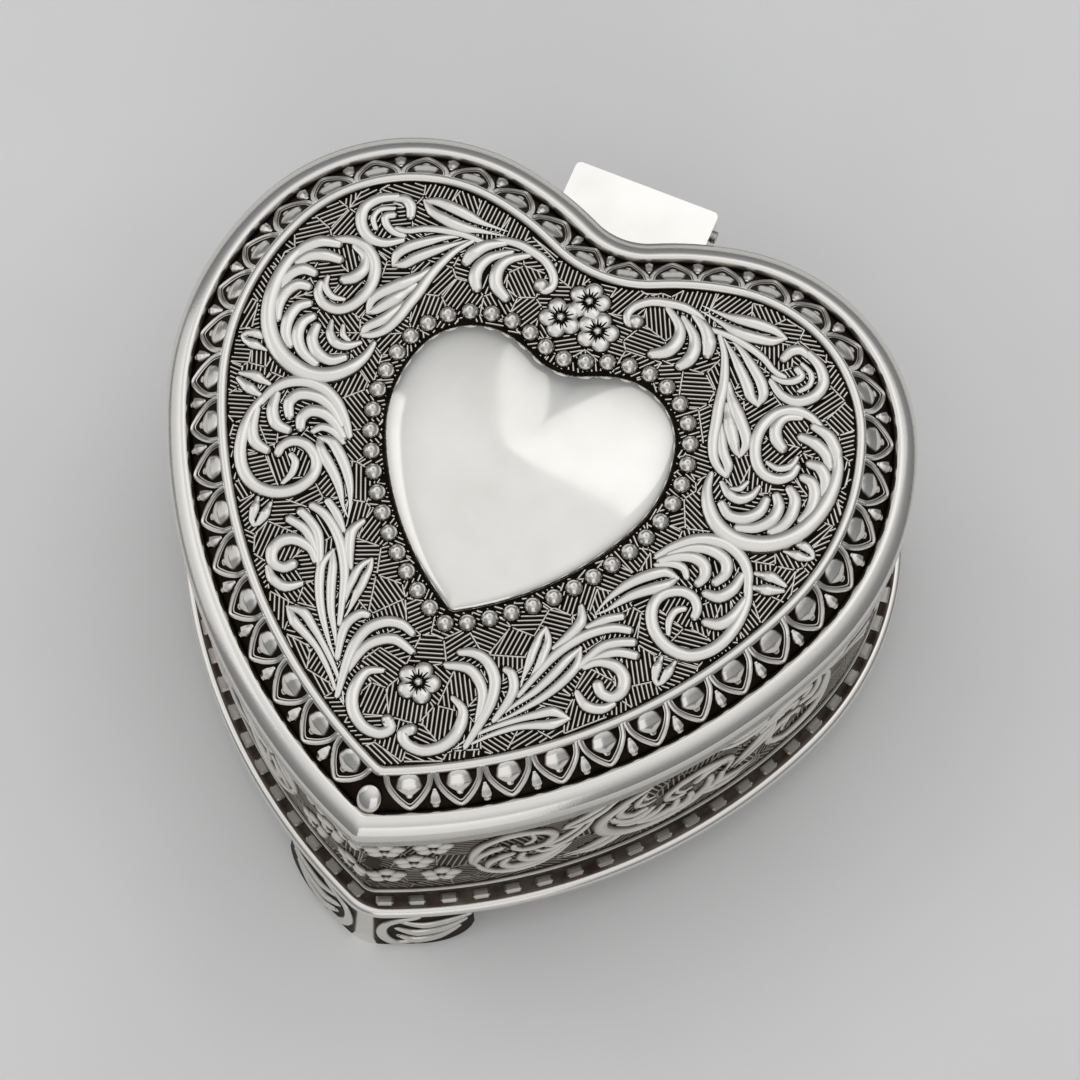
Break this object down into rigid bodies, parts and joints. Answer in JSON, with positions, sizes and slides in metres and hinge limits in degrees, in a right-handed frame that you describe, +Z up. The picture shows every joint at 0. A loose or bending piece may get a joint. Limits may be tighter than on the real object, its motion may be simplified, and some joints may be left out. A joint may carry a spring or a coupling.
{
  "type": "keepsake box",
  "caption": "Heart-shaped cast metal keepsake box on leaf feet, with a hinged lid of scrollwork round a plain domed heart plaque, lined with velvet.",
  "frame": {"origin": "on the ground, under the middle of the box", "axes": "+Z up, the heart's tip towards -Y, the hinge at +Y"},
  "size_m": [0.1068, 0.1056, 0.0553],
  "materials": {
    "antique_silver": "silver-plated cast zinc, antiqued: bright crests, dark recesses",
    "polished_silver": "silver-plated, mirror polished",
    "velvet": "short-pile velvet",
    "card": "grey board",
    "steel": "plain steel"
  },
  "bodies": {
    "box": {"foot_front": "antique_silver", "foot_left": "antique_silver", "foot_right": "antique_silver", "foot_screws": "steel", "base_plate": "polished_silver", "base_moulding": "antique_silver", "box_wall": "antique_silver", "wall_lining": "velvet", "floor_card": "card", "floor_pad": "velvet", "hinge_body_leaf": "polished_silver", "hinge_body_rivets": "steel", "hinge_pin": "steel"},
    "lid": {"lid_shell": "antique_silver", "heart_plaque": "polished_silver", "lid_card": "card", "lid_pad": "velvet", "hinge_lid_leaf": "polished_silver", "hinge_lid_rivets": "steel"}
  },
  "joints": [
    {"name": "lid_hinge", "type": "hinge", "parent": "box", "child": "lid", "pos_m": [0, 0.05074, 0.0423], "axis": [-1, 0, 0], "range_deg": [0, 100]}
  ]
}
